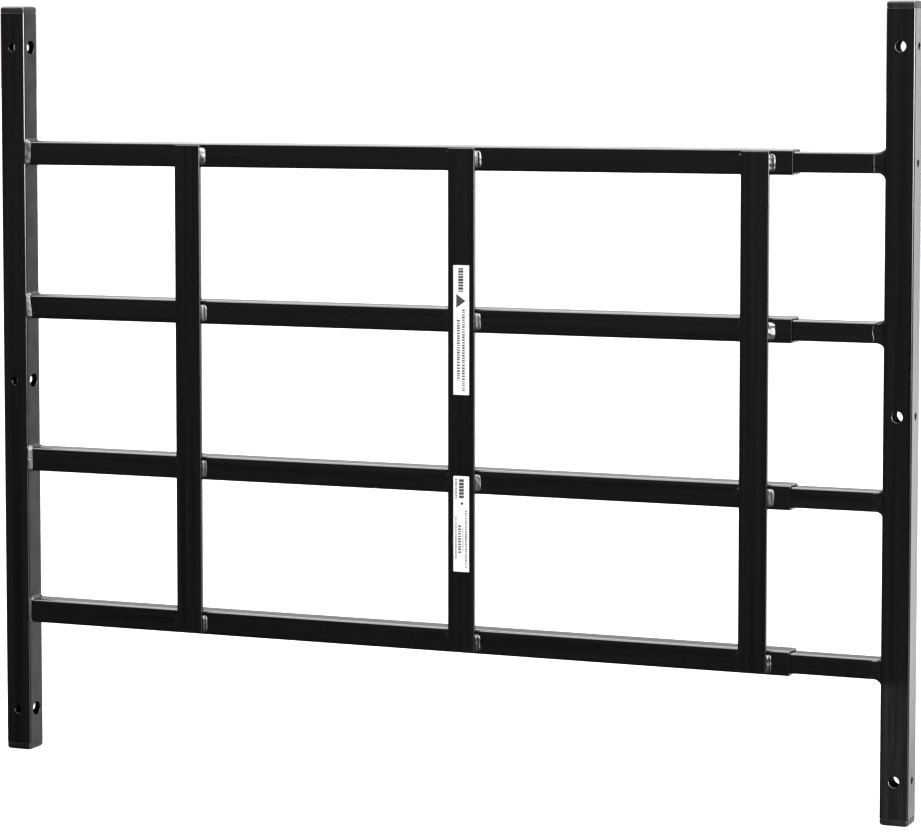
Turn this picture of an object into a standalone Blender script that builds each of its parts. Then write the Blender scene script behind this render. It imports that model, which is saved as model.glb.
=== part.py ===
"""Adjustable window guard: four telescoping horizontal bars between two hollow posts.

Units are metres, +Z is up, +X runs along the bars and -Y is the side that faces the room.
The origin is at the foot of the posts, midway between their outer faces at the rest width
and midway between the labels' front and the posts' back.
The left post, the outer bars and the three straps are one welded frame. The right post and
the inner bars are a second welded frame, which slides along X inside the outer bars.
"""

import math

import bmesh
import bpy
from mathutils import Matrix, Vector

# Overall size
HEIGHT = 0.650
REST_WIDTH = 0.814
GAP = 0.0003

# Posts: square tube, a plastic cap in each end
POST = 0.0236
POST_WALL = 0.0015
POST_CORNER = 0.0022
POST_Y = 0.0009
CAP_HEAD = 0.0055
CAP_INSET = 0.0001
CAP_ROUND = 0.0016
CAP_PLUG = 0.013
CAP_PLUG_WALL = 0.0018
CAP_RIM = 0.0016

# Screw holes in the posts: the inner side's wide ones let a screw head and a driver through
INNER_SIDE_HOLE_RADIUS = 0.006
OUTER_SIDE_HOLE_RADIUS = 0.003
FRONT_HOLE_RADIUS = {"left": 0.0033, "right": 0.0044}
BACK_HOLE_RADIUS = {"left": 0.0042, "right": 0.006}
END_HOLE_HEIGHT = 0.0355
HOLE_HEIGHTS = (END_HOLE_HEIGHT, HEIGHT / 2, HEIGHT - END_HOLE_HEIGHT)

# Bars: the inner ones slide in the outer ones
BAR_COUNT = 4
BAR = 0.0207
BAR_WALL = 0.0015
BAR_CORNER = 0.0025
INNER_BAR = 0.0166
INNER_WALL = 0.0012
INNER_CORNER = 0.0019
BAR_PITCH = 0.13335
LOWEST_BAR = 0.1234
OUTER_BAR_REACH = 0.7148
INNER_BAR_LENGTH = 0.457

# Straps: flat bars welded upright across the front of the outer bars
STRAP_COUNT = 3
STRAP_WIDTH = 0.0236
STRAP_THICKNESS = 0.0040
STRAP_CORNER = 0.0008
FIRST_STRAP = 0.1694
STRAP_PITCH = 0.2518
STRAP_SHORT_OF_BAR_EDGE = 0.002

# Printed labels on the middle strap
LABEL_WIDTH = 0.0138
LABEL_THICKNESS = 0.00015
LABEL_LIFT = 0.0002
LABEL_OFFSET = 0.0005
LABEL_CORNER = 0.0008
UPPER_LABEL = (0.3289, 0.4357)
LOWER_LABEL = (0.1820, 0.2614)

# Welds: how far a bead reaches along the bar, and out from it over the face it is joined to
LEFT_WELD_REACH = {"top": (0.0046, 0.0040), "front": (0.0046, 0.0026), "bottom": (0.0034, 0.0026)}
RIGHT_WELD_REACH = {"top": (0.0056, 0.0042), "front": (0.0104, 0.0042), "bottom": (0.0056, 0.0070)}
STRAP_WELD_ALONG = 0.0050
STRAP_WELD_OUT = 0.0034
STRAP_WELD_HEIGHT = 0.0160
WELD_FULLNESS = 1.45
WELD_ARC_STEPS = 3

# How finely round shapes are drawn
CORNER_STEPS = 4
HOLE_SIDES = 24

# Places worked out from the sizes above
LEFT_POST_X = -REST_WIDTH / 2 + POST / 2
RIGHT_POST_X = -LEFT_POST_X
LEFT_POST_FACE = LEFT_POST_X + POST / 2
RIGHT_POST_FACE = RIGHT_POST_X - POST / 2
POST_TUBE_LENGTH = HEIGHT - 2 * (CAP_HEAD + GAP)
BAR_HEIGHTS = [LOWEST_BAR + BAR_PITCH * (BAR_COUNT - 1 - i) for i in range(BAR_COUNT)]
BAR_Y = POST_Y + POST / 2 - BAR / 2
BAR_FRONT = BAR_Y - BAR / 2
OUTER_BAR_START = LEFT_POST_FACE + GAP
OUTER_BAR_END = -REST_WIDTH / 2 + OUTER_BAR_REACH
INNER_BAR_END = RIGHT_POST_FACE - GAP
STRAP_Y = BAR_FRONT - GAP - STRAP_THICKNESS / 2
STRAP_FRONT = STRAP_Y - STRAP_THICKNESS / 2
STRAP_LEFT_EDGES = [-REST_WIDTH / 2 + FIRST_STRAP + STRAP_PITCH * i for i in range(STRAP_COUNT)]
STRAP_TOP = BAR_HEIGHTS[0] + BAR / 2 - STRAP_SHORT_OF_BAR_EDGE
STRAP_BOTTOM = BAR_HEIGHTS[-1] - BAR / 2 + STRAP_SHORT_OF_BAR_EDGE

# Colour, roughness and metallic value of each kind of piece
FINISHES = {
    "paint": ((0.012, 0.012, 0.013), 0.28, 0.0),
    "weld": ((0.014, 0.014, 0.015), 0.22, 0.0),
    "plastic": ((0.022, 0.022, 0.023), 0.48, 0.0),
    "vinyl": ((0.86, 0.87, 0.88), 0.40, 0.0),
}

ALONG_X = Matrix.Rotation(math.radians(90), 4, "Y")
UPSIDE_DOWN = Matrix.Rotation(math.radians(180), 4, "X")


def clear_scene():
    """Removes every object, so that the script starts from nothing."""
    for item in list(bpy.data.objects):
        bpy.data.objects.remove(item, do_unlink=True)


def make_frame(name, location):
    """An empty that carries one of the two welded frames."""
    frame = bpy.data.objects.new(name, None)
    frame.empty_display_size = 0.05
    frame.location = location
    bpy.context.scene.collection.objects.link(frame)
    return frame


def make_material(name, kind):
    """A Principled material with the colour and gloss of one kind of piece."""
    colour, roughness, metallic = FINISHES[kind]
    material = bpy.data.materials.new(name)
    material.use_nodes = True
    shader = material.node_tree.nodes["Principled BSDF"]
    shader.inputs["Base Color"].default_value = (*colour, 1.0)
    shader.inputs["Roughness"].default_value = roughness
    shader.inputs["Metallic"].default_value = metallic
    material.diffuse_color = (*colour, 1.0)
    return material


def make_piece(name, bm, kind, frame, location, turn=None):
    """Turns a bmesh into a named object with its own material, placed on its frame."""
    if turn is not None:
        bmesh.ops.transform(bm, matrix=turn, verts=bm.verts)
    bmesh.ops.recalc_face_normals(bm, faces=bm.faces)
    mesh = bpy.data.meshes.new(name)
    bm.to_mesh(mesh)
    bm.free()
    mesh.shade_smooth()
    mesh.set_sharp_from_angle(angle=math.radians(35))
    mesh.materials.append(make_material(name + "_finish", kind))
    piece = bpy.data.objects.new(name, mesh)
    bpy.context.scene.collection.objects.link(piece)
    piece.parent = frame
    piece.location = Vector(location) - frame.location
    return piece


def rounded_rectangle(width, depth, radius, steps=CORNER_STEPS):
    """Corner points of a rectangle with round corners, anticlockwise, centred on the origin."""
    points = []
    corners = ((1, 1), (-1, 1), (-1, -1), (1, -1))
    for quarter, (side_x, side_y) in enumerate(corners):
        centre_x = side_x * (width / 2 - radius)
        centre_y = side_y * (depth / 2 - radius)
        for step in range(steps + 1):
            angle = math.radians(90) * (quarter + step / steps)
            x = centre_x + radius * math.cos(angle)
            y = centre_y + radius * math.sin(angle)
            points.append((x, y))
    return points


def loft(sections, ring=False):
    """Joins sections of equal point count with quads; ring joins the last section to the first."""
    bm = bmesh.new()
    rows = [[bm.verts.new(point) for point in section] for section in sections]
    pairs = list(zip(rows, rows[1:]))
    if ring:
        pairs.append((rows[-1], rows[0]))
    for lower, upper in pairs:
        for index in range(len(lower)):
            after = (index + 1) % len(lower)
            bm.faces.new((lower[index], lower[after], upper[after], upper[index]))
    if not ring:
        bm.faces.new(rows[0])
        bm.faces.new(rows[-1])
    return bm


def raised(outline, height):
    """An outline in the XY plane lifted to a height."""
    return [(x, y, height) for x, y in outline]


def square_tube(size, wall, corner, length):
    """A hollow square tube, open at both ends, standing on the XY plane."""
    outside = rounded_rectangle(size, size, corner)
    bore = size - 2 * wall
    inside = rounded_rectangle(bore, bore, max(corner - wall, 0.0005))
    sections = [raised(outside, 0), raised(outside, length), raised(inside, length), raised(inside, 0)]
    return loft(sections, ring=True)


def solid_bar(width, depth, corner, length):
    """A solid bar of rounded rectangular section, standing on the XY plane."""
    outline = rounded_rectangle(width, depth, corner)
    return loft([raised(outline, 0), raised(outline, length)])


def end_cap():
    """A push-in cap: a rounded head with a hollow plug below it, the head's underside at z = 0."""
    head = POST - 2 * CAP_INSET
    plug = POST - 2 * POST_WALL - 2 * GAP
    hollow = plug - 2 * CAP_PLUG_WALL
    corner = POST_CORNER - CAP_INSET
    rounding = []
    for step in range(CORNER_STEPS + 1):
        angle = math.radians(90) * step / CORNER_STEPS
        inset = CAP_ROUND * (1 - math.cos(angle))
        height = CAP_HEAD - CAP_ROUND * (1 - math.sin(angle))
        side = head - 2 * inset
        rounding.append(raised(rounded_rectangle(side, side, corner), height))
    plug_outline = rounded_rectangle(plug, plug, POST_CORNER - POST_WALL)
    hollow_outline = rounded_rectangle(hollow, hollow, 0.0005)
    sections = [raised(hollow_outline, -CAP_RIM)]
    sections.append(raised(hollow_outline, -CAP_PLUG))
    sections.append(raised(plug_outline, -CAP_PLUG))
    sections.append(raised(plug_outline, 0))
    sections.append(raised(rounded_rectangle(head, head, corner), 0))
    return loft(sections + rounding)


def make_cutter(name, frame, centres, direction, radius, length):
    """A guide object of parallel cylinders, which a Boolean modifier takes out of a post."""
    bm = bmesh.new()
    turn = Vector((0, 0, 1)).rotation_difference(Vector(direction)).to_matrix().to_4x4()
    for centre in centres:
        place = Matrix.Translation(Vector(centre) - frame.location) @ turn
        bmesh.ops.create_cone(
            bm,
            cap_ends=True,
            segments=HOLE_SIDES,
            radius1=radius,
            radius2=radius,
            depth=length,
            matrix=place,
        )
    mesh = bpy.data.meshes.new(name)
    bm.to_mesh(mesh)
    bm.free()
    cutter = bpy.data.objects.new(name, mesh)
    bpy.context.scene.collection.objects.link(cutter)
    cutter.parent = frame
    cutter.hide_render = True
    cutter.display_type = "WIRE"
    return cutter


def cut_with(piece, cutter):
    """Takes the cutter out of the piece."""
    cut = piece.modifiers.new(cutter.name, "BOOLEAN")
    cut.operation = "DIFFERENCE"
    cut.solver = "EXACT"
    cut.object = cutter


def make_post(side, frame, centre_x, inward, extra_outer_holes=()):
    """A post with its screw holes and both caps; inward is +1 or -1, towards the bars."""
    foot = CAP_HEAD + GAP
    tube = square_tube(POST, POST_WALL, POST_CORNER, POST_TUBE_LENGTH)
    post = make_piece(side + "_post", tube, "paint", frame, (centre_x, POST_Y, foot))
    inner_x = centre_x + inward * POST / 2
    outer_x = centre_x - inward * POST / 2
    front = [(centre_x, POST_Y - POST / 2, height) for height in HOLE_HEIGHTS]
    back = [(centre_x, POST_Y + POST / 2, height) for height in HOLE_HEIGHTS]
    inner = [(inner_x, POST_Y, height) for height in HOLE_HEIGHTS]
    outer = [(outer_x, POST_Y, height) for height in (*HOLE_HEIGHTS, *extra_outer_holes)]
    holes = (
        ("_front_cutter", front, (0, 1, 0), FRONT_HOLE_RADIUS[side]),
        ("_back_cutter", back, (0, 1, 0), BACK_HOLE_RADIUS[side]),
        ("_inner_side_cutter", inner, (1, 0, 0), INNER_SIDE_HOLE_RADIUS),
        ("_outer_side_cutter", outer, (1, 0, 0), OUTER_SIDE_HOLE_RADIUS),
    )
    for suffix, centres, direction, radius in holes:
        cutter = make_cutter(side + suffix, frame, centres, direction, radius, POST / 2)
        cut_with(post, cutter)
    top = (centre_x, POST_Y, HEIGHT - CAP_HEAD)
    bottom = (centre_x, POST_Y, CAP_HEAD)
    make_piece(side + "_post_top_cap", end_cap(), "plastic", frame, top)
    make_piece(side + "_post_bottom_cap", end_cap(), "plastic", frame, bottom, UPSIDE_DOWN)


def make_outer_bars(frame):
    """The four bars welded to the left post, open at their right ends."""
    length = OUTER_BAR_END - OUTER_BAR_START
    for number, height in enumerate(BAR_HEIGHTS, start=1):
        tube = square_tube(BAR, BAR_WALL, BAR_CORNER, length)
        place = (OUTER_BAR_START, BAR_Y, height)
        make_piece(f"outer_bar_{number}", tube, "paint", frame, place, ALONG_X)


def make_inner_bars(frame):
    """The four bars welded to the right post, which slide in the outer bars."""
    start = INNER_BAR_END - INNER_BAR_LENGTH
    for number, height in enumerate(BAR_HEIGHTS, start=1):
        tube = square_tube(INNER_BAR, INNER_WALL, INNER_CORNER, INNER_BAR_LENGTH)
        make_piece(f"inner_bar_{number}", tube, "paint", frame, (start, BAR_Y, height), ALONG_X)


def make_straps(frame):
    """The three upright flat bars across the front of the outer bars."""
    for number, left_edge in enumerate(STRAP_LEFT_EDGES, start=1):
        bar = solid_bar(STRAP_WIDTH, STRAP_THICKNESS, STRAP_CORNER, STRAP_TOP - STRAP_BOTTOM)
        place = (left_edge + STRAP_WIDTH / 2, STRAP_Y, STRAP_BOTTOM)
        make_piece(f"strap_{number}", bar, "paint", frame, place)


def make_labels(frame):
    """The two thin labels on the front of the middle strap."""
    centre_x = STRAP_LEFT_EDGES[STRAP_COUNT // 2] + STRAP_WIDTH / 2 + LABEL_OFFSET
    front = STRAP_FRONT - LABEL_LIFT
    upright = Matrix.Rotation(math.radians(90), 4, "X")
    for name, (bottom, top) in (("upper_label", UPPER_LABEL), ("lower_label", LOWER_LABEL)):
        outline = rounded_rectangle(LABEL_WIDTH, top - bottom, LABEL_CORNER, 2)
        bm = loft([raised(outline, 0), raised(outline, LABEL_THICKNESS)])
        make_piece(name, bm, "vinyl", frame, (centre_x, front, (bottom + top) / 2), upright)


def bead_section(along, out):
    """Section of a weld bead in the corner of two faces, as reaches along one and out the other."""
    points = [(GAP, GAP)]
    for step in range(WELD_ARC_STEPS + 1):
        angle = math.radians(90) * step / WELD_ARC_STEPS
        reach_along = along * max(math.cos(angle), 0.0) ** (2 / WELD_FULLNESS)
        reach_out = out * max(math.sin(angle), 0.0) ** (2 / WELD_FULLNESS)
        points.append((GAP + reach_along, GAP + reach_out))
    return points


def blend_reach(reach, normal_y, normal_z):
    """A bead's reach where the bar's surface faces between its top, front and bottom."""
    shares = {
        "top": max(normal_z, 0.0) ** 2,
        "front": normal_y**2,
        "bottom": max(-normal_z, 0.0) ** 2,
    }
    along = sum(share * reach[side][0] for side, share in shares.items())
    out = sum(share * reach[side][1] for side, share in shares.items())
    return along, out


def post_weld(bar_size, bar_corner, direction, reach):
    """A bead round the top, front and bottom of a bar's end; direction is away from the post."""
    outline = rounded_rectangle(bar_size, bar_size, bar_corner)
    back = bar_size / 2 - bar_corner
    route = [(back, bar_size / 2, 0, 1)]
    for y, z in outline:
        if y > 0:
            continue
        centre_z = math.copysign(bar_size / 2 - bar_corner, z)
        normal = Vector((y + bar_size / 2 - bar_corner, z - centre_z)).normalized()
        route.append((y, z, normal.x, normal.y))
    route.append((back, -bar_size / 2, 0, -1))
    sections = []
    for y, z, normal_y, normal_z in route:
        section = bead_section(*blend_reach(reach, normal_y, normal_z))
        sections.append([(direction * a, y + o * normal_y, z + o * normal_z) for a, o in section])
    return loft(sections)


def strap_weld(direction):
    """An upright bead in the corner of a strap's edge and a bar's front; direction is away from it."""
    half = STRAP_WELD_HEIGHT / 2
    sections = []
    for height, fullness in ((-1, 0.45), (-0.85, 0.8), (-0.4, 1), (0.4, 1), (0.85, 0.8), (1, 0.45)):
        section = bead_section(STRAP_WELD_ALONG * fullness, STRAP_WELD_OUT * fullness)
        sections.append([(direction * a, -o, half * height) for a, o in section])
    return loft(sections)


def make_post_welds(side, frame, post_face, direction, bar_size, bar_corner, reach):
    """One bead where each bar meets its post."""
    for number, height in enumerate(BAR_HEIGHTS, start=1):
        bead = post_weld(bar_size, bar_corner, direction, reach)
        make_piece(f"{side}_post_weld_{number}", bead, "weld", frame, (post_face, BAR_Y, height))


def make_strap_welds(frame):
    """A bead on each side of each strap at each bar."""
    for strap, left_edge in enumerate(STRAP_LEFT_EDGES, start=1):
        for bar, height in enumerate(BAR_HEIGHTS, start=1):
            for side, edge, direction in (("left", left_edge, -1), ("right", left_edge + STRAP_WIDTH, 1)):
                name = f"strap_{strap}_bar_{bar}_{side}_weld"
                make_piece(name, strap_weld(direction), "weld", frame, (edge, BAR_FRONT, height))


def main():
    clear_scene()
    outer_frame = make_frame("outer_frame", Vector((0, 0, 0)))
    inner_frame = make_frame("inner_frame", Vector((OUTER_BAR_END, BAR_Y, 0)))
    make_post("left", outer_frame, LEFT_POST_X, 1)
    make_post("right", inner_frame, RIGHT_POST_X, -1, extra_outer_holes=(BAR_HEIGHTS[0],))
    make_outer_bars(outer_frame)
    make_inner_bars(inner_frame)
    make_straps(outer_frame)
    make_labels(outer_frame)
    make_post_welds("left", outer_frame, LEFT_POST_FACE, 1, BAR, BAR_CORNER, LEFT_WELD_REACH)
    make_post_welds("right", inner_frame, RIGHT_POST_FACE, -1, INNER_BAR, INNER_CORNER, RIGHT_WELD_REACH)
    make_strap_welds(outer_frame)


main()
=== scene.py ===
"""Looks of the adjustable window guard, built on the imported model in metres.

Every CAD node is replaced by a finer mesh in the same place: tubes with bent corners and
rounded hole rims, moulded caps, rolled straps, rippled weld beads and printed labels.
"""
import math

import bmesh
import bpy
import numpy as np
from mathutils import Matrix, Vector, noise


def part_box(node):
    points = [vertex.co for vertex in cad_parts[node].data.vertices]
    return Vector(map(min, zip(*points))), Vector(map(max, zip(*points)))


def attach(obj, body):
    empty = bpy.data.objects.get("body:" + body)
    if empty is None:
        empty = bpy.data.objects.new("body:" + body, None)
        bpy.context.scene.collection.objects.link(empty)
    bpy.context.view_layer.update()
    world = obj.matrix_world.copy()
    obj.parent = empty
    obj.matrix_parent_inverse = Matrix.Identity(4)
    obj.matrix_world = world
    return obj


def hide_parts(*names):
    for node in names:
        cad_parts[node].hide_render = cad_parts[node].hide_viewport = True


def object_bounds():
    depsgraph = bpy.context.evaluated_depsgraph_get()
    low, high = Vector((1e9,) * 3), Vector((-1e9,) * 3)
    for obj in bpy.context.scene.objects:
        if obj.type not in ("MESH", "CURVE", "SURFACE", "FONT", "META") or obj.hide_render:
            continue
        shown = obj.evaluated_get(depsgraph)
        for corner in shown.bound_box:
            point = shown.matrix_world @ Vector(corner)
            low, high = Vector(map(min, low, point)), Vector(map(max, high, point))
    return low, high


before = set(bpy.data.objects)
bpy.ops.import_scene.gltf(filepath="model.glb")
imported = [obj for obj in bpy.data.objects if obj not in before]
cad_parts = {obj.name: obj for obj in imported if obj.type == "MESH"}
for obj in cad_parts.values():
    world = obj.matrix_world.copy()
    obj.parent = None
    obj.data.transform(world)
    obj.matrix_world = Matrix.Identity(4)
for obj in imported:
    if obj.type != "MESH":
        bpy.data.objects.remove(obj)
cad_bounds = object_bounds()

OUTER_BODY = "outer_frame"
INNER_BODY = "inner_frame"

BAR_COUNT = 4
STRAP_COUNT = 3

# Walls and bends of the tubes, which a node's box doesn't tell, and their rounded cut edges
POST_WALL = 0.0015
POST_CORNER = 0.0022
BAR_WALL = 0.0015
BAR_CORNER = 0.0025
INNER_WALL = 0.0012
INNER_CORNER = 0.0019
CORNER_STEPS = 8
EDGE_ROUND = 0.00025

# A bar's end that is nearer than this to a post's face is joined to it
JOINT_GAP = 0.001

# Straps
STRAP_CORNER = 0.0008
STRAP_END_ROUND = 0.0004

# Screw holes: radii, height of the end ones above the foot, and the rounding of their rims
INNER_SIDE_HOLE_RADIUS = 0.006
OUTER_SIDE_HOLE_RADIUS = 0.003
FRONT_HOLE_RADIUS = {"left": 0.0033, "right": 0.0044}
BACK_HOLE_RADIUS = {"left": 0.0042, "right": 0.006}
END_HOLE_HEIGHT = 0.0355
HOLE_RIM = 0.0003
HOLE_SEGMENTS = 48

# A hole's cutter starts outside the wall, flares there, and rounds the rim just below the surface
CUT_MARGIN = 0.001
CUT_FLARE = 0.0004
CUT_SINK = 0.00002

# Post caps: the head, the neck in the seam under it, and the hollow ribbed plug; the skin is what a
# face keeps from the tube's end or from the CAD's outer face
SKIN = 0.00003
CAP_ROUND = 0.0022
CAP_RIM = 0.0003
CAP_CROWN = 0.003
CROWN_RISE = 0.0001
CROWN_CORNER = 0.4
CAP_SEAM = 0.0003
NECK_INSET = 0.0007
PLUG_CLEARANCE = 0.0003
PLUG_CORNER = 0.0006
PLUG_WALL = 0.0018
PLUG_CEILING = 0.0016
RIB_COUNT = 4
RIB_DEPTH = 0.0006
RIB_CORNER = 0.0007
RIB_MARGIN = 0.001
RIB_CREST = 0.45
RIB_END = 0.55

# Labels
LABEL_CORNER = 0.0003
LABEL_BEVEL = 0.00004
LABEL_GAP = 0.0002
INK_THICKNESS = 0.00002
INK_SINK = 0.00001

# Printed dashes: those longer than the bold dash stand closer; gaps are shares of the longest dash
SHORTEST_DASH = 0.0004
BOLD_DASH = 0.002
BOLD_GAP = 0.22
FINE_GAP = 0.5

# The right post's coat is thinner below this height, over a change of this half width
THIN_COAT_HEIGHT = 0.113
THIN_COAT_CHANGE = 0.004

# Weld beads: spacing of sections, pitch of the ripples, how far a bead sinks in the faces it joins,
# the bow of the ripples in radians, and how fine the noise of its toes and lumps is, per metre
WELD_STEP = 0.00035
WELD_RIPPLE = 0.0024
WELD_SINK = 0.00015
WELD_SECTION_STEPS = 16
RIPPLE_BOW = 2.2
TOE_WAVES = 200
LUMP_WAVES = 320

# Middle and width of the groove and of the toe ridge, as shares of the way over a bead
GROOVE_BELL = (0.5, 0.1)
RIDGE_BELL = (0.12, 0.06)

# The straps' beads against the CAD's: how much lower, their length, and the size of their ends
STRAP_WELD_DROP = 0.0008
STRAP_WELD_SHARE = 0.92
STRAP_WELD_END = 0.3

# How each strap's beads differ, by strap and bar: reach along the bar, reach out from it, how full
# the section is, depth of the groove between two passes, how much it thins downwards, and paint
RIGHT_STRAP_WELDS = {
    (1, 1): (0.80, 1.15, 0.52, 0.00, 0.25, "satin"),
    (1, 2): (0.90, 0.95, 0.58, 0.12, 0.1, "dull"),
    (1, 3): (0.72, 0.62, 0.58, 0.10, 0.2, "dull"),
    (1, 4): (0.66, 0.85, 0.62, 0.20, 0.3, "satin"),
    (2, 1): (0.92, 1.10, 0.53, 0.20, 0.1, "satin"),
    (2, 2): (0.85, 0.95, 0.56, 0.12, 0.2, "dull"),
    (2, 3): (0.85, 0.80, 0.58, 0.06, 0.1, "dull"),
    (2, 4): (0.76, 0.85, 0.60, 0.20, 0.3, "satin"),
    (3, 1): (0.84, 1.10, 0.52, 0.26, 0.0, "satin"),
    (3, 2): (0.95, 1.10, 0.52, 0.00, 0.0, "satin"),
    (3, 3): (0.95, 0.80, 0.56, 0.06, 0.1, "dull"),
    (3, 4): (0.72, 0.90, 0.62, 0.22, 0.1, "satin"),
}
LEFT_STRAP_WELD = (0.80, 0.80, 0.70, 0.0, 0.1, "smooth")

# How the posts' beads differ, from the top bar down: on the left the width at the top and bottom of
# the bar's front; on the right the width and height over the bar and under it, and the raised toe
LEFT_WELD_WIDTHS = ((1.0, 0.85), (0.5, 1.0), (0.7, 0.75), (0.22, 0.14))
RIGHT_WELD_TOPS = ((1.0, 1.0), (0.8, 0.7), (0.5, 0.6), (0.25, 0.25))
RIGHT_WELD_BOTTOMS = ((0.75, 0.9), (0.55, 0.8), (0.4, 0.75), (0.45, 0.7))
TOE_RIDGES = (0.0009, 0.0014, 0.0, 0.0)

# A post's beads against the CAD's: width and height over and under the bar, and how soon the width
# of the front gives way to them at the bar's corners
POST_WELD_ENDS = {"left": (0.55, 0.5, 1), "right": (0.56, 1.0, 3)}
POST_WELD_SIZE = 0.95
FRONT_FULLNESS = 0.55
END_FULLNESS = 0.42

# Edges sharper than this stay sharp
SMOOTH_ANGLE = math.radians(32)
BEAD_SMOOTH_ANGLE = math.radians(80)

# The stretches of a noise that numbers and colours follow
NUMBER_SPAN = (0.3, 0.7)
COLOUR_SPAN = (0.35, 0.65)


# ---------------------------------------------------------------- shader helpers

def new_material(name, grey, roughness):
    """A grey Principled material; returns it with its node tree and shader."""
    material = bpy.data.materials.new(name)
    material.use_nodes = True
    tree = material.node_tree
    shader = tree.nodes["Principled BSDF"]
    shader.inputs["Base Color"].default_value = (grey, grey, grey, 1)
    shader.inputs["Roughness"].default_value = roughness
    shader.inputs["IOR"].default_value = 1.5
    return material, tree, shader


def noise_texture(tree, scale, detail, stretch=(1, 1, 1)):
    """Noise in the object's own metres; a stretch below 1 draws it out along an axis."""
    coordinates = tree.nodes.new("ShaderNodeTexCoord")
    mapping = tree.nodes.new("ShaderNodeMapping")
    mapping.inputs["Scale"].default_value = stretch
    texture = tree.nodes.new("ShaderNodeTexNoise")
    texture.inputs["Scale"].default_value = scale
    texture.inputs["Detail"].default_value = detail
    tree.links.new(coordinates.outputs["Object"], mapping.inputs["Vector"])
    tree.links.new(mapping.outputs["Vector"], texture.inputs["Vector"])
    return texture.outputs["Fac"]


def split_coordinates(tree, kind):
    """The X, Y and Z outputs of one kind of texture coordinates."""
    coordinates = tree.nodes.new("ShaderNodeTexCoord")
    split = tree.nodes.new("ShaderNodeSeparateXYZ")
    tree.links.new(coordinates.outputs[kind], split.inputs["Vector"])
    return [split.outputs[axis] for axis in "XYZ"]


def math_node(tree, operation, *values):
    """A Math node fed by sockets or numbers."""
    node = tree.nodes.new("ShaderNodeMath")
    node.operation = operation
    for index, value in enumerate(values):
        if isinstance(value, (int, float)):
            node.inputs[index].default_value = value
        else:
            tree.links.new(value, node.inputs[index])
    return node.outputs["Value"]


def change(tree, value, start, stop, low, high, interpolation="LINEAR"):
    """A number that goes from low to high as value goes from start to stop."""
    node = tree.nodes.new("ShaderNodeMapRange")
    node.interpolation_type = interpolation
    for name, number in (("From Min", start), ("From Max", stop), ("To Min", low), ("To Max", high)):
        node.inputs[name].default_value = number
    tree.links.new(value, node.inputs["Value"])
    return node.outputs["Result"]


def vary(tree, shader, source, low, high):
    """Drives a shader's roughness from noise, between low and high."""
    tree.links.new(change(tree, source, *NUMBER_SPAN, low, high), shader.inputs["Roughness"])


def vary_grey(tree, shader, source, dark, light):
    """Drives a shader's colour from noise, between a dark and a light grey."""
    ramp = tree.nodes.new("ShaderNodeValToRGB")
    for element, position, grey in zip(ramp.color_ramp.elements, COLOUR_SPAN, (dark, light)):
        element.position = position
        element.color = (grey, grey, grey, 1)
    tree.links.new(source, ramp.inputs["Fac"])
    tree.links.new(ramp.outputs["Color"], shader.inputs["Base Color"])


def add_bump(tree, shader, source, depth):
    """Adds a bump of a real depth, on top of any bump that is there."""
    bump = tree.nodes.new("ShaderNodeBump")
    bump.inputs["Strength"].default_value = 1.0
    bump.inputs["Distance"].default_value = depth
    tree.links.new(source, bump.inputs["Height"])
    normal = shader.inputs["Normal"]
    if normal.is_linked:
        tree.links.new(normal.links[0].from_socket, bump.inputs["Normal"])
    tree.links.new(bump.outputs["Normal"], normal)


# ---------------------------------------------------------------- materials

def powder_coat(name, stretch):
    """Glossy black powder coat on drawn tube: orange peel, faint draw lines, uneven gloss."""
    material, tree, shader = new_material(name, 0.003, 0.12)
    vary_grey(tree, shader, noise_texture(tree, 260, 3, stretch), 0.0016, 0.0046)
    vary(tree, shader, noise_texture(tree, 90, 3), 0.09, 0.15)
    add_bump(tree, shader, noise_texture(tree, 420, 2), 0.000012)
    add_bump(tree, shader, noise_texture(tree, 1100, 2, stretch), 0.000006)
    return material


def thinned_coat(name, stretch, height):
    """A powder coat that is thinner in streaks below a height, where the grey tube shows through."""
    material = powder_coat(name, stretch)
    tree = material.node_tree
    colour = tree.nodes["Principled BSDF"].inputs["Base Color"]
    z = split_coordinates(tree, "Object")[2]
    below = change(tree, z, height + THIN_COAT_CHANGE, height - THIN_COAT_CHANGE, 0, 1)
    streaks = change(tree, noise_texture(tree, 210, 2, (1, 1, 0.06)), *NUMBER_SPAN, 0.1, 1)
    mix = tree.nodes.new("ShaderNodeMix")
    mix.data_type = "RGBA"
    coat, bare = [socket for socket in mix.inputs if socket.type == "RGBA"]
    mixed = next(socket for socket in mix.outputs if socket.type == "RGBA")
    bare.default_value = (0.015, 0.015, 0.015, 1)
    tree.links.new(colour.links[0].from_socket, coat)
    tree.links.new(math_node(tree, "MULTIPLY", streaks, below), mix.inputs["Factor"])
    tree.links.new(mixed, colour)
    return material


def weld_paint(name, smoothest, roughest):
    """The same coat over a weld bead: lumpy, and glossier where it looks up and the powder lay."""
    material, tree, shader = new_material(name, 0.004, roughest)
    vary_grey(tree, shader, noise_texture(tree, 260, 2), 0.003, 0.007)
    rough = change(tree, noise_texture(tree, 300, 2), *NUMBER_SPAN, smoothest, roughest)
    upward = split_coordinates(tree, "Normal")[2]
    share = change(tree, upward, 0.1, 0.5, 1, 0.4)
    tree.links.new(math_node(tree, "MULTIPLY", rough, share), shader.inputs["Roughness"])
    add_bump(tree, shader, noise_texture(tree, 450, 2), 0.00002)
    return material


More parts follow.
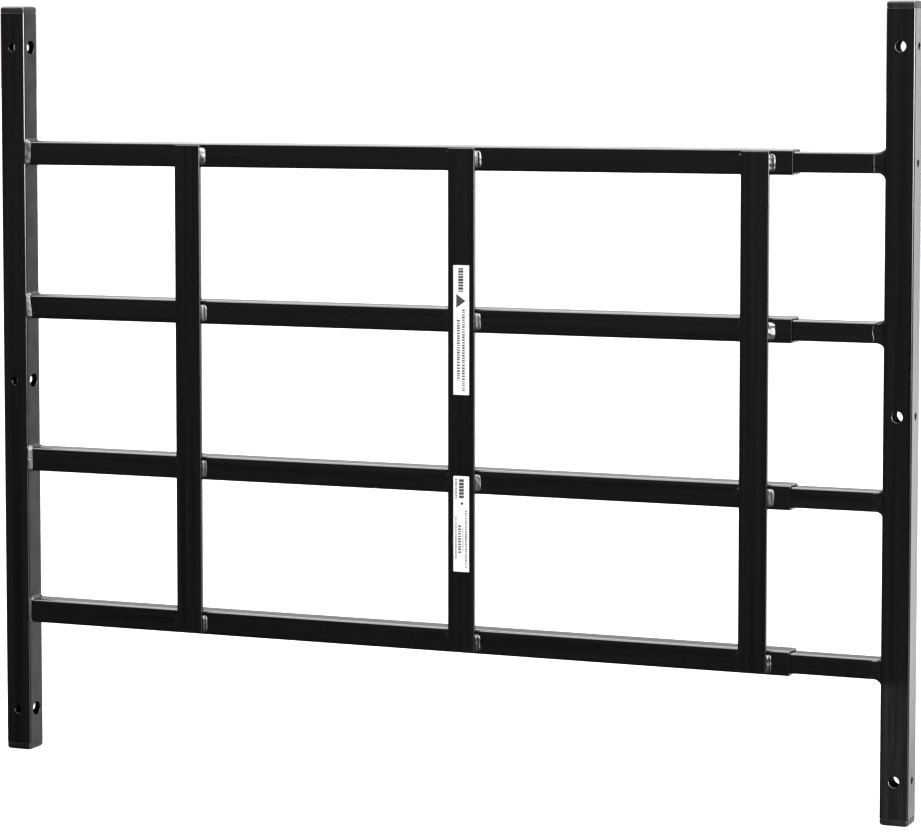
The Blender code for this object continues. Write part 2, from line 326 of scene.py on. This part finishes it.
def cap_plastic(name, grey):
    """Moulded black polythene with a fine satin grain."""
    material, tree, shader = new_material(name, grey, 0.4)
    shader.inputs["Specular IOR Level"].default_value = 0.28
    vary_grey(tree, shader, noise_texture(tree, 120, 3), 0.8 * grey, 1.3 * grey)
    vary(tree, shader, noise_texture(tree, 200, 2), 0.34, 0.46)
    add_bump(tree, shader, noise_texture(tree, 2600, 2), 0.000018)
    return material


def label_vinyl():
    """White gloss vinyl with a slight unevenness from the adhesive below it."""
    material, tree, shader = new_material("white_vinyl", 0.86, 0.34)
    vary_grey(tree, shader, noise_texture(tree, 80, 3), 0.83, 0.9)
    vary(tree, shader, noise_texture(tree, 160, 2), 0.28, 0.4)
    add_bump(tree, shader, noise_texture(tree, 240, 2), 0.00002)
    return material


def printing_ink():
    """Dark grey ink, a little broken where it didn't take."""
    material, tree, shader = new_material("label_ink", 0.03, 0.4)
    vary_grey(tree, shader, noise_texture(tree, 1500, 2), 0.02, 0.05)
    vary(tree, shader, noise_texture(tree, 900, 2), 0.34, 0.5)
    return material


# Stretches that draw the marks of the drawing bench out along a tube
ALONG_X = (0.012, 1, 1)
ALONG_Z = (1, 1, 0.012)

upright_paint = powder_coat("powder_coat_upright", ALONG_Z)
level_paint = powder_coat("powder_coat_level", ALONG_X)
thinned_paint = thinned_coat("powder_coat_thinned", ALONG_Z, THIN_COAT_HEIGHT)
post_paints = {"left": upright_paint, "right": thinned_paint}
bead_paints = {
    "smooth": weld_paint("painted_weld_smooth", 0.16, 0.24),
    "satin": weld_paint("painted_weld_satin", 0.22, 0.32),
    "dull": weld_paint("painted_weld_dull", 0.42, 0.54),
}
plastic = cap_plastic("black_plastic", 0.01)
# A darker copy of the cap plastic: painted shade for the left post's bottom cap, which stands in shadow
plastic_painted_shade = cap_plastic("black_plastic_painted_shade", 0.0016)
vinyl = label_vinyl()
ink = printing_ink()


# ---------------------------------------------------------------- mesh helpers

def rounded_rectangle(width, depth, radius, steps=CORNER_STEPS):
    """Corner points of a rectangle with round corners, anticlockwise, centred on the origin."""
    points = []
    for quarter, (side_x, side_y) in enumerate(((1, 1), (-1, 1), (-1, -1), (1, -1))):
        centre_x = side_x * (width / 2 - radius)
        centre_y = side_y * (depth / 2 - radius)
        for step in range(steps + 1):
            angle = math.radians(90) * (quarter + step / steps)
            points.append((centre_x + radius * math.cos(angle), centre_y + radius * math.sin(angle)))
    return points


def raised(outline, height):
    """An outline in the XY plane lifted to a height."""
    return [(x, y, height) for x, y in outline]


def quarter_round(radius, steps):
    """Inset and rise of the steps that round an edge over, from the end face to the side face."""
    angles = [math.radians(90) * step / steps for step in range(steps + 1)]
    return [(radius * (1 - math.sin(angle)), radius * (1 - math.cos(angle))) for angle in angles]


def add_loft(bm, sections, ring=False):
    """Joins sections of equal point count with quads; ring joins the last section to the first."""
    rows = [[bm.verts.new(point) for point in section] for section in sections]
    pairs = list(zip(rows, rows[1:]))
    if ring:
        pairs.append((rows[-1], rows[0]))
    for lower, upper in pairs:
        for index in range(len(lower)):
            after = (index + 1) % len(lower)
            bm.faces.new((lower[index], lower[after], upper[after], upper[index]))
    if not ring:
        bm.faces.new(rows[0])
        bm.faces.new(rows[-1])


def loft(sections, ring=False):
    """A bmesh of its own with one loft in it."""
    bm = bmesh.new()
    add_loft(bm, sections, ring)
    return bm


def square_tube(size, wall, corner, length, broken_ends):
    """A hollow square tube on the XY plane, with its cut edges rounded at the ends that ask for it."""

    def outside(inset):
        side = size - 2 * inset
        return rounded_rectangle(side, side, corner - inset)

    def inside(inset):
        side = size - 2 * wall + 2 * inset
        return rounded_rectangle(side, side, corner - wall + inset)

    start_edge, stop_edge = [
        quarter_round(EDGE_ROUND, 3) if broken else [(0, 0)] for broken in broken_ends
    ]
    sections = [raised(outside(inset), rise) for inset, rise in start_edge]
    sections += [raised(outside(inset), length - rise) for inset, rise in reversed(stop_edge)]
    sections += [raised(inside(inset), length - rise) for inset, rise in stop_edge]
    sections += [raised(inside(inset), rise) for inset, rise in reversed(start_edge)]
    return loft(sections, ring=True)


def apply_modifiers(piece):
    """Replaces a piece's mesh by what its modifiers make of it."""
    graph = bpy.context.evaluated_depsgraph_get()
    mesh = bpy.data.meshes.new_from_object(piece.evaluated_get(graph))
    piece.modifiers.clear()
    piece.data = mesh


def new_object(name, bm):
    """A bmesh as an object in the scene."""
    bmesh.ops.recalc_face_normals(bm, faces=bm.faces)
    mesh = bpy.data.meshes.new(name)
    bm.to_mesh(mesh)
    bm.free()
    piece = bpy.data.objects.new(name, mesh)
    bpy.context.scene.collection.objects.link(piece)
    return piece


def finish_piece(piece, material, body, nodes, smooth_angle=SMOOTH_ANGLE):
    """Shades a piece, gives it its material, puts it on its body and hides the nodes it stands for."""
    piece.data.shade_smooth()
    piece.data.set_sharp_from_angle(angle=smooth_angle)
    weighted = piece.modifiers.new("flat_faces_stay_flat", "WEIGHTED_NORMAL")
    weighted.keep_sharp = True
    apply_modifiers(piece)
    piece.data.materials.clear()
    piece.data.materials.append(material)
    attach(piece, body)
    if nodes:
        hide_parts(*nodes)


# ---------------------------------------------------------------- posts

def add_hole_cutter(bm, centre, outward, radius):
    """Adds a round cutter for a post's wall; it flares at the surface, so the hole's rim is rounded."""
    profile = [(-CUT_MARGIN, radius + HOLE_RIM + CUT_FLARE)]
    profile += [(CUT_SINK + rise, radius + inset) for inset, rise in quarter_round(HOLE_RIM, 4)]
    profile.append((POST_WALL + CUT_MARGIN, radius))
    turn = Vector((0, 0, 1)).rotation_difference(-Vector(outward)).to_matrix()
    angles = [math.tau * segment / HOLE_SEGMENTS for segment in range(HOLE_SEGMENTS)]
    rings = []
    for depth, reach in profile:
        circle = [Vector((reach * math.cos(angle), reach * math.sin(angle), depth)) for angle in angles]
        rings.append([centre + turn @ point for point in circle])
    add_loft(bm, rings)


def build_post(side, body, inward, extra_heights):
    """A post's tube with its holes; inward is +1 or -1, towards the bars, and the extra heights are
    of holes in its outer side only."""
    node = side + "_post"
    low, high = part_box(node)
    size = high.x - low.x
    centre = (low + high) / 2
    tube = square_tube(size, POST_WALL, POST_CORNER, high.z - low.z, (True, True))
    bmesh.ops.translate(tube, verts=tube.verts, vec=(centre.x, centre.y, low.z))
    post = new_object("visible_" + node, tube)
    top = cad_bounds[1][2]
    heights = (END_HOLE_HEIGHT, top / 2, top - END_HOLE_HEIGHT)
    half = size / 2
    front = ((0, -1, 0), FRONT_HOLE_RADIUS[side])
    back = ((0, 1, 0), BACK_HOLE_RADIUS[side])
    inner_side = ((inward, 0, 0), INNER_SIDE_HOLE_RADIUS)
    outer_side = ((-inward, 0, 0), OUTER_SIDE_HOLE_RADIUS)
    holes = [(height, hole) for height in heights for hole in (front, back, inner_side)]
    holes += [(height, outer_side) for height in (*heights, *extra_heights)]
    cutters = bmesh.new()
    for height, (outward, radius) in holes:
        middle = Vector((centre.x, centre.y, height)) + half * Vector(outward)
        add_hole_cutter(cutters, middle, outward, radius)
    cutter = new_object(node + "_cutter", cutters)
    cut = post.modifiers.new("holes", "BOOLEAN")
    cut.operation = "DIFFERENCE"
    cut.solver = "EXACT"
    cut.object = cutter
    apply_modifiers(post)
    bpy.data.objects.remove(cutter)
    finish_piece(post, post_paints[side], body, [node])


def build_cap(side, end, body):
    """A moulded push-in cap: a head with rounded edges above a ribbed hollow plug."""
    node = f"{side}_post_{end}_cap"
    low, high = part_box(node)
    tube_low, tube_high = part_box(side + "_post")
    size = high.x - low.x
    head = high.z - tube_high.z if end == "top" else tube_low.z - low.z
    reach = high.z - low.z
    plug = tube_high.x - tube_low.x - 2 * POST_WALL - 2 * PLUG_CLEARANCE
    hollow = plug - 2 * PLUG_WALL
    between_ribs = plug - 2 * RIB_DEPTH
    neck = size - 2 * NECK_INSET
    shoulder = reach - head + CAP_SEAM
    rib_pitch = (shoulder - 2 * RIB_MARGIN) / RIB_COUNT

    def square(side_length, height, radius):
        return raised(rounded_rectangle(side_length, side_length, radius), height)

    # heights run from the head's top, at reach, down to the plug's end, at 0
    sections = [square(hollow, reach - PLUG_CEILING, PLUG_CORNER), square(hollow, 0, PLUG_CORNER)]
    sections.append(square(between_ribs, 0, PLUG_CORNER))
    for rib in range(RIB_COUNT):
        foot = RIB_MARGIN + rib * rib_pitch
        sections.append(square(between_ribs, foot, PLUG_CORNER))
        sections.append(square(plug, foot + RIB_CREST * rib_pitch, RIB_CORNER))
        sections.append(square(between_ribs, foot + RIB_END * rib_pitch, PLUG_CORNER))
    neck_foot = reach - head + SKIN
    sections.append(square(between_ribs, neck_foot, PLUG_CORNER))
    sections.append(square(neck, neck_foot, POST_CORNER - NECK_INSET))
    sections.append(square(neck, shoulder, POST_CORNER - NECK_INSET))
    for inset, rise in quarter_round(CAP_RIM, 3):
        sections.append(square(size - 2 * inset, shoulder + rise, POST_CORNER - inset))
    for rise, inset in quarter_round(CAP_ROUND, CORNER_STEPS):
        height = reach - rise - CROWN_RISE
        sections.append(square(size - 2 * inset, height, POST_CORNER + CROWN_CORNER * inset))
    sections.append(square(size - 2 * CAP_ROUND - 2 * CAP_CROWN, reach - SKIN, POST_CORNER))
    bm = loft(sections)
    if end == "bottom":
        bmesh.ops.transform(bm, matrix=Matrix.Rotation(math.pi, 4, "X"), verts=bm.verts)
        bmesh.ops.translate(bm, verts=bm.verts, vec=(0, 0, reach))
    centre = (low + high) / 2
    bmesh.ops.translate(bm, verts=bm.verts, vec=(centre.x, centre.y, low.z))
    # The left post's bottom cap takes the darker plastic, which is painted shade
    paint = plastic_painted_shade if (side, end) == ("left", "bottom") else plastic
    finish_piece(new_object("visible_" + node, bm), paint, body, [node])


# ---------------------------------------------------------------- bars and straps

def build_bar(node, body, wall, corner, post_face, broken_ends):
    """One tube along X; an end that stops just short of the post's face runs on to it."""
    low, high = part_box(node)
    start = min(low.x, post_face) if abs(low.x - post_face) < JOINT_GAP else low.x
    stop = max(high.x, post_face) if abs(high.x - post_face) < JOINT_GAP else high.x
    bm = square_tube(high.z - low.z, wall, corner, stop - start, broken_ends)
    bmesh.ops.transform(bm, matrix=Matrix.Rotation(math.radians(90), 4, "Y"), verts=bm.verts)
    centre = (low + high) / 2
    bmesh.ops.translate(bm, verts=bm.verts, vec=(start, centre.y, centre.z))
    finish_piece(new_object("visible_" + node, bm), level_paint, body, [node])


def build_strap(number):
    """A rolled flat bar with soft edges, its back on the bars' fronts."""
    node = f"strap_{number}"
    low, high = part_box(node)
    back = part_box("outer_bar_1")[0].y
    width = high.x - low.x
    thickness = back - low.y
    length = high.z - low.z
    sections = []
    for inset, rise in quarter_round(STRAP_END_ROUND, 3):
        outline = rounded_rectangle(width - 2 * inset, thickness - 2 * inset, STRAP_CORNER - inset / 2)
        sections.append(raised(outline, rise))
    sections += [[(x, y, length - z) for x, y, z in section] for section in reversed(sections)]
    bm = loft(sections)
    place = ((low.x + high.x) / 2, low.y + thickness / 2, low.z)
    bmesh.ops.translate(bm, verts=bm.verts, vec=place)
    piece = new_object("visible_" + node, bm)
    finish_piece(piece, upright_paint, OUTER_BODY, [node])


# ---------------------------------------------------------------- weld beads

def bell(share, middle, width):
    """A bell curve: 1 in the middle, and little beyond its width on either side."""
    return math.exp(-(((share - middle) / width) ** 2))


def bead_mesh(route, seed, lump=0.09, ripple=0.02, toe_ridge=0.0, groove=0.0):
    """A rippled bead along a corner. A stop on the route is the corner point, the direction and reach
    along one face, the direction and reach over the other, its size there, and how full its section
    is: 1 is a quarter circle, 0.5 a straight bevel and less is hollow. A toe ridge is the height of
    the raised edge where the bead runs out on the first face, and a groove parts two passes."""
    shift = Vector((seed * 7.31, seed * 3.17, seed * 5.71))
    sections = []
    travelled = 0.0
    before = route[0][0]
    for corner, along, reach_along, over, reach_over, size, fullness in route:
        travelled += (corner - before).length
        before = corner
        toe = noise.noise(shift + Vector((travelled * TOE_WAVES, 0, 0)))
        other_toe = noise.noise(shift + Vector((travelled * TOE_WAVES, 9, 0)))
        longest_run = reach_along * size * (1 + lump * toe)
        longest_rise = reach_over * size * (1 + lump * other_toe)
        points = [corner - along * WELD_SINK - over * WELD_SINK]
        for step in range(WELD_SECTION_STEPS + 1):
            share = step / WELD_SECTION_STEPS
            angle = math.radians(90) * share
            crown = math.sin(math.pi * share)
            phase = math.tau * travelled / WELD_RIPPLE + RIPPLE_BOW * crown
            spot = shift + Vector((travelled * LUMP_WAVES, share * 2.4, 4))
            swell = 1 + ripple * math.cos(phase) * crown
            swell += lump * noise.noise(spot) * crown
            swell -= groove * bell(share, *GROOVE_BELL)
            run = longest_run * max(math.cos(angle), 0) ** (1 / fullness) * swell
            rise = longest_rise * max(math.sin(angle), 0) ** (1 / fullness) * swell
            rise += toe_ridge * size * bell(share, *RIDGE_BELL)
            run -= WELD_SINK if step == WELD_SECTION_STEPS else 0
            rise -= WELD_SINK if step == 0 else 0
            points.append(corner + along * run + over * rise)
        sections.append(points)
    return loft(sections)


def resampled(points, step):
    """Points a step apart along a polyline, with a direction at each; both ends are kept."""
    places = [np.array(place, float) for place, _ in points]
    directions = [np.array(direction, float) for _, direction in points]
    lengths = [0.0]
    for first, second in zip(places, places[1:]):
        lengths.append(lengths[-1] + float(np.linalg.norm(second - first)))
    count = int(lengths[-1] / step)
    result = []
    for index in range(count + 1):
        at = lengths[-1] * index / count
        place = [np.interp(at, lengths, [p[axis] for p in places]) for axis in range(3)]
        way = [np.interp(at, lengths, [d[axis] for d in directions]) for axis in range(3)]
        result.append((Vector(place), Vector(way).normalized()))
    return result


def corner_route(face, low, high, corner):
    """Points on a post's face round the top, front and bottom of a bar's end, and their directions."""
    middle = (low.z + high.z) / 2
    half = (high.z - low.z) / 2
    route = [((face, high.y - corner, high.z), (0, 0, 1))]
    for end, first in ((1, 90), (-1, 180)):
        for degrees in range(first, first + 91, 15):
            angle = math.radians(degrees)
            y = low.y + corner + corner * math.cos(angle)
            z = middle + end * (half - corner) + corner * math.sin(angle)
            route.append(((face, y, z), (0, math.cos(angle), math.sin(angle))))
    route.append(((face, high.y - corner, low.z), (0, 0, -1)))
    return route


def build_post_weld(side, number, body, bar_node, post_face, direction, corner, seed):
    """A bead round the top, front and bottom of a bar's end; direction is away from the post."""
    node = f"{side}_post_weld_{number}"
    weld_low, weld_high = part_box(node)
    low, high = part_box(bar_node)
    reach = {"top": weld_high.z - high.z, "front": low.y - weld_low.y, "bottom": low.z - weld_low.z}
    along = weld_high.x - weld_low.x
    end_run, end_rise, front_pull = POST_WELD_ENDS[side]
    width_top, width_bottom = LEFT_WELD_WIDTHS[number - 1] if side == "left" else (1, 1)
    over_bar = RIGHT_WELD_TOPS[number - 1] if side == "right" else (1, 1)
    under_bar = RIGHT_WELD_BOTTOMS[number - 1] if side == "right" else (1, 1)
    route = []
    for place, way in resampled(corner_route(post_face, low, high, corner), WELD_STEP):
        shares = {"top": max(way.z, 0) ** 2, "front": way.y**2, "bottom": max(-way.z, 0) ** 2}
        over = sum(share * reach[name] for name, share in shares.items())
        ends = shares["top"] + shares["bottom"]
        end_width, end_height = over_bar if way.z > 0 else under_bar
        drop = (high.z - place.z) / (high.z - low.z)
        front_width = width_top + (width_bottom - width_top) * drop
        front_share = shares["front"] ** front_pull
        run = along * (front_share * front_width + (1 - front_share) * end_run * end_width)
        over *= shares["front"] + end_rise * end_height * ends
        fullness = FRONT_FULLNESS * shares["front"] + END_FULLNESS * ends
        route.append((place, Vector((direction, 0, 0)), run, way, over, POST_WELD_SIZE, fullness))
    if side == "left":
        bead, paint = bead_mesh(route, seed, lump=0.12), bead_paints["dull"]
    else:
        bead = bead_mesh(route, seed, lump=0.06, toe_ridge=TOE_RIDGES[number - 1])
        paint = bead_paints["smooth"]
    piece = new_object("visible_" + node, bead)
    finish_piece(piece, paint, body, [node], BEAD_SMOOTH_ANGLE)


def build_strap_weld(strap, bar, side, seed):
    """A short upright bead in the corner of a strap's edge and a bar's front."""
    node = f"strap_{strap}_bar_{bar}_{side}_weld"
    low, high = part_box(node)
    bar_low, bar_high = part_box(f"outer_bar_{bar}")
    strap_low, strap_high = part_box(f"strap_{strap}")
    if side == "left":
        direction, edge, style = -1, strap_low.x, LEFT_STRAP_WELD
    else:
        direction, edge, style = 1, strap_high.x, RIGHT_STRAP_WELDS[strap, bar]
    run_share, rise_share, fullness, groove, thinning, paint = style
    length = STRAP_WELD_SHARE * (high.z - low.z)
    count = int(length / WELD_STEP)
    middle = (low.z + high.z) / 2 - STRAP_WELD_DROP
    bar_middle = (bar_low.z + bar_high.z) / 2
    flat_half = (bar_high.z - bar_low.z) / 2 - BAR_CORNER
    away, out = Vector((direction, 0, 0)), Vector((0, -1, 0))
    run = run_share * (high.x - low.x)
    route = []
    for index in range(count + 1):
        share = 2 * index / count - 1
        size = STRAP_WELD_END + (1 - STRAP_WELD_END) * max(1 - abs(share) ** 5, 0) ** 0.5
        height = middle + share * length / 2
        past_flat = max(abs(height - bar_middle) - flat_half, 0)
        retreat = BAR_CORNER - math.sqrt(BAR_CORNER**2 - past_flat**2)
        place = Vector((edge, bar_low.y + retreat, height))
        rise = rise_share * (bar_low.y - low.y) * (1 - thinning * (1 - share) / 2)
        route.append((place, away, run, out, rise, size, fullness))
    piece = new_object("visible_" + node, bead_mesh(route, seed, ripple=0, groove=groove))
    finish_piece(piece, bead_paints[paint], OUTER_BODY, [node], BEAD_SMOOTH_ANGLE)


# ---------------------------------------------------------------- labels

def add_mark(bm, outline, front):
    """A thin printed shape: an outline of (x, z) points, raised a little off the label's front."""
    back_row = [bm.verts.new((x, front + INK_SINK, z)) for x, z in outline]
    front_row = [bm.verts.new((x, front - INK_THICKNESS, z)) for x, z in outline]
    bm.faces.new(back_row)
    bm.faces.new(front_row)
    for index in range(len(outline)):
        after = (index + 1) % len(outline)
        bm.faces.new((back_row[index], back_row[after], front_row[after], front_row[index]))


def add_dashes(bm, generator, x, width, top, bottom, longest, front):
    """A column of dashes of uneven length, which stands for a printed line and can't be read."""
    z = top
    gap = BOLD_GAP if longest > BOLD_DASH else FINE_GAP
    while z - SHORTEST_DASH > bottom:
        length = min(generator.uniform(0.55, 1.0) * longest, z - bottom)
        outline = ((x, z), (x + width, z), (x + width, z - length), (x, z - length))
        add_mark(bm, outline, front)
        z -= length + generator.uniform(0.7, 1.3) * gap * longest


def build_label(node, columns, shape, seed):
    """A vinyl label and its printing, on the front of the middle strap."""
    low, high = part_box(node)
    width = high.x - low.x
    length = high.z - low.z
    centre = (low + high) / 2
    thickness = high.y - low.y
    outline = rounded_rectangle(width, length, LABEL_CORNER, 5)
    small = rounded_rectangle(width - 2 * LABEL_BEVEL, length - 2 * LABEL_BEVEL, LABEL_CORNER, 5)
    heights = ((outline, -LABEL_GAP), (outline, thickness - LABEL_BEVEL), (small, thickness))
    bm = loft([raised(section, height) for section, height in heights])
    bmesh.ops.transform(bm, matrix=Matrix.Rotation(math.radians(90), 4, "X"), verts=bm.verts)
    bmesh.ops.translate(bm, verts=bm.verts, vec=(centre.x, high.y, centre.z))
    finish_piece(new_object("visible_" + node, bm), vinyl, OUTER_BODY, [node])
    generator = np.random.default_rng(seed)
    marks = bmesh.new()
    for across, column_width, start, stop, longest in columns:
        x = low.x + across * width
        top = high.z - start * length
        bottom = high.z - stop * length
        add_dashes(marks, generator, x, column_width, top, bottom, longest, low.y)
    add_mark(marks, [(low.x + across * width, high.z - down * length) for across, down in shape], low.y)
    finish_piece(new_object(node + "_printing", marks), ink, OUTER_BODY, [])


# ---------------------------------------------------------------- the whole object

# Printed columns: place across the label, width in metres, start and stop down the label as shares
# of its length, and the longest dash in metres
UPPER_COLUMNS = (
    (0.31, 0.0046, 0.02, 0.205, 0.0024),
    (0.55, 0.0026, 0.34, 0.97, 0.0016),
    (0.22, 0.0028, 0.42, 0.89, 0.0016),
)
LOWER_COLUMNS = (
    (0.36, 0.0044, 0.03, 0.24, 0.0024),
    (0.10, 0.0020, 0.03, 0.24, 0.0014),
    (0.75, 0.0017, 0.355, 0.97, 0.0015),
    (0.58, 0.0010, 0.54, 0.79, 0.0010),
    (0.30, 0.0028, 0.515, 0.81, 0.0016),
    (0.10, 0.0016, 0.43, 0.875, 0.0013),
)

# Printed shapes, as shares of the label's width and length
TRIANGLE = ((0.18, 0.22), (0.78, 0.275), (0.18, 0.33))
DOT_ANGLES = [math.tau * step / 16 for step in range(16)]
DOT = [(0.55 + 0.09 * math.cos(angle), 0.285 + 0.016 * math.sin(angle)) for angle in DOT_ANGLES]


def build_guard():
    """Every piece of the guard, on its body."""
    left_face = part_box("left_post")[1].x
    right_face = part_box("right_post")[0].x
    top_bar_low, top_bar_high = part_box("outer_bar_1")
    build_post("left", OUTER_BODY, 1, ())
    build_post("right", INNER_BODY, -1, ((top_bar_low.z + top_bar_high.z) / 2,))
    for side, body in (("left", OUTER_BODY), ("right", INNER_BODY)):
        for end in ("top", "bottom"):
            build_cap(side, end, body)
    for bar in range(1, BAR_COUNT + 1):
        outer, inner = f"outer_bar_{bar}", f"inner_bar_{bar}"
        build_bar(outer, OUTER_BODY, BAR_WALL, BAR_CORNER, left_face, (False, True))
        build_bar(inner, INNER_BODY, INNER_WALL, INNER_CORNER, right_face, (True, False))
        build_post_weld("left", bar, OUTER_BODY, outer, left_face, 1, BAR_CORNER, bar)
        build_post_weld("right", bar, INNER_BODY, inner, right_face, -1, INNER_CORNER, 10 + bar)
    for strap in range(1, STRAP_COUNT + 1):
        build_strap(strap)
        for bar in range(1, BAR_COUNT + 1):
            for side, first_seed in (("left", 20), ("right", 70)):
                build_strap_weld(strap, bar, side, first_seed + 4 * strap + bar)
    build_label("upper_label", UPPER_COLUMNS, TRIANGLE, 3)
    build_label("lower_label", LOWER_COLUMNS, DOT, 4)


# ---------------------------------------------------------------- studio

def floor_material():
    """Matt pale paper that glows a little, so that it stays white up to the horizon."""
    material, tree, shader = new_material("pale_paper", 0.9, 0.8)
    shader.inputs["Emission Color"].default_value = (1, 1, 1, 1)
    shader.inputs["Emission Strength"].default_value = 1.0
    vary(tree, shader, noise_texture(tree, 3, 2), 0.78, 0.84)
    return material


def build_floor():
    """A wide floor at the posts' feet. It is left out of reflections, which see the studio round it."""
    bm = bmesh.new()
    bmesh.ops.create_grid(bm, x_segments=8, y_segments=8, size=60)
    floor = new_object("studio_floor", bm)
    floor.data.materials.append(floor_material())
    floor.visible_glossy = False


# Panels round the object: azimuth of the middle from the front, turning to the right, and width,
# lower and upper height, how soft the edges are (all in degrees), and radiance
PANELS = (
    (180, 100, -90, 90, 20, 0.5),
    (158.5, 11, -40, 70, 3, 2.3),
    (168, 10, -11, 70, 1, 0.58),
    (168, 10, -11, -5, 1, 0.26),
    (68.5, 24, -2.5, 48, 3, 45),
    (-12, 24, -90, 60, 16, 0.05),
    (68.5, 24, -60, -4, 3, 3),
    (147, 14, -90, -6.5, 5, 0.2),
)

# The room behind the panels brightens from one radiance to the other between two heights in degrees
ROOM_HEIGHTS = (-14, 3)
ROOM_RADIANCE = (0.04, 0.16)

# Softbox overhead: radius and softness of its edge in degrees, and radiance
OVERHEAD_RADIUS = 49
OVERHEAD_SOFT = 5
OVERHEAD_RADIANCE = 11

BACKDROP_RADIANCE = 1.02


def panel_shape(tree, azimuth, height, middle, width, low, high, soft):
    """How much of a panel lies in a direction: 1 inside, 0 outside, and between at its soft edges."""
    turned = math_node(tree, "SUBTRACT", azimuth, middle)
    away = math_node(tree, "ABSOLUTE", math_node(tree, "WRAP", turned, 180, -180))
    across = change(tree, away, width / 2 - soft / 2, width / 2 + soft / 2, 1, 0, "SMOOTHSTEP")
    lower = change(tree, height, low - soft, low + soft, 0, 1, "SMOOTHSTEP")
    upper = change(tree, height, high - soft, high + soft, 1, 0, "SMOOTHSTEP")
    return math_node(tree, "MULTIPLY", across, math_node(tree, "MULTIPLY", lower, upper))


def build_world():
    """A pale backdrop for the camera; reflections see a darker room with bright panels in it."""
    world = bpy.data.worlds.new("studio")
    bpy.context.scene.world = world
    world.use_nodes = True
    world.cycles_visibility.diffuse = False
    tree = world.node_tree
    tree.nodes.clear()
    x, y, z = split_coordinates(tree, "Generated")
    to_the_front = math_node(tree, "MULTIPLY", y, -1)
    azimuth = math_node(tree, "DEGREES", math_node(tree, "ARCTAN2", x, to_the_front))
    height = math_node(tree, "DEGREES", math_node(tree, "ARCSINE", z))
    off_zenith = math_node(tree, "DEGREES", math_node(tree, "ARCCOSINE", z))
    edge = (OVERHEAD_RADIUS + OVERHEAD_SOFT, OVERHEAD_RADIUS - OVERHEAD_SOFT)
    overhead = change(tree, off_zenith, *edge, 0, OVERHEAD_RADIANCE, "SMOOTHSTEP")
    room = change(tree, height, *ROOM_HEIGHTS, *ROOM_RADIANCE, "SMOOTHSTEP")
    total = math_node(tree, "ADD", room, overhead)
    for *shape, radiance in PANELS:
        panel = panel_shape(tree, azimuth, height, *shape)
        total = math_node(tree, "MULTIPLY_ADD", panel, radiance, total)
    studio = tree.nodes.new("ShaderNodeBackground")
    studio.inputs["Color"].default_value = (1, 1, 1, 1)
    tree.links.new(total, studio.inputs["Strength"])
    backdrop = tree.nodes.new("ShaderNodeBackground")
    backdrop.inputs["Color"].default_value = (1, 1, 1, 1)
    backdrop.inputs["Strength"].default_value = BACKDROP_RADIANCE
    path = tree.nodes.new("ShaderNodeLightPath")
    either = tree.nodes.new("ShaderNodeMixShader")
    output = tree.nodes.new("ShaderNodeOutputWorld")
    tree.links.new(path.outputs["Is Camera Ray"], either.inputs["Fac"])
    tree.links.new(studio.outputs["Background"], either.inputs[1])
    tree.links.new(backdrop.outputs["Background"], either.inputs[2])
    tree.links.new(either.outputs["Shader"], output.inputs["Surface"])


def build_fill_light(name, place, target, size, power):
    """A large soft light that isn't seen in the gloss of the paint."""
    light = bpy.data.lights.new(name, "AREA")
    light.shape = "SQUARE"
    light.size = size
    light.energy = power
    lamp = bpy.data.objects.new(name, light)
    lamp.location = place
    lamp.rotation_euler = (Vector(target) - Vector(place)).to_track_quat("-Z", "Y").to_euler()
    lamp.visible_glossy = False
    bpy.context.scene.collection.objects.link(lamp)


# Camera: its place in metres, turn and tilt in degrees, lens in millimetres, and vertical shift
CAMERA_PLACE = (1.1029, -2.598, 0.6048)
CAMERA_TURN = 22.615
CAMERA_TILT = 4.308
CAMERA_LENS = 133.56
CAMERA_SHIFT = -0.11


def build_camera():
    """The view from the front right, near the height of the posts' tops, tilted down a little."""
    camera_data = bpy.data.cameras.new("camera")
    camera_data.lens = CAMERA_LENS
    camera_data.sensor_width = 36
    camera_data.shift_y = CAMERA_SHIFT
    camera_data.clip_end = 200
    camera = bpy.data.objects.new("camera", camera_data)
    camera.location = CAMERA_PLACE
    camera.rotation_euler = (math.radians(90 - CAMERA_TILT), 0, math.radians(CAMERA_TURN))
    bpy.context.scene.collection.objects.link(camera)
    bpy.context.scene.camera = camera


build_guard()
build_floor()
build_world()
build_fill_light("front_fill", place=(-0.4, -3.2, 2.6), target=(0, 0, 0.3), size=2.2, power=100)
build_fill_light("top_fill", place=(0.2, 0.3, 3.4), target=(0, 0, 0), size=2.5, power=40)
build_camera()
bpy.context.scene.view_settings.view_transform = "Standard"
bpy.context.scene.view_settings.look = "None"
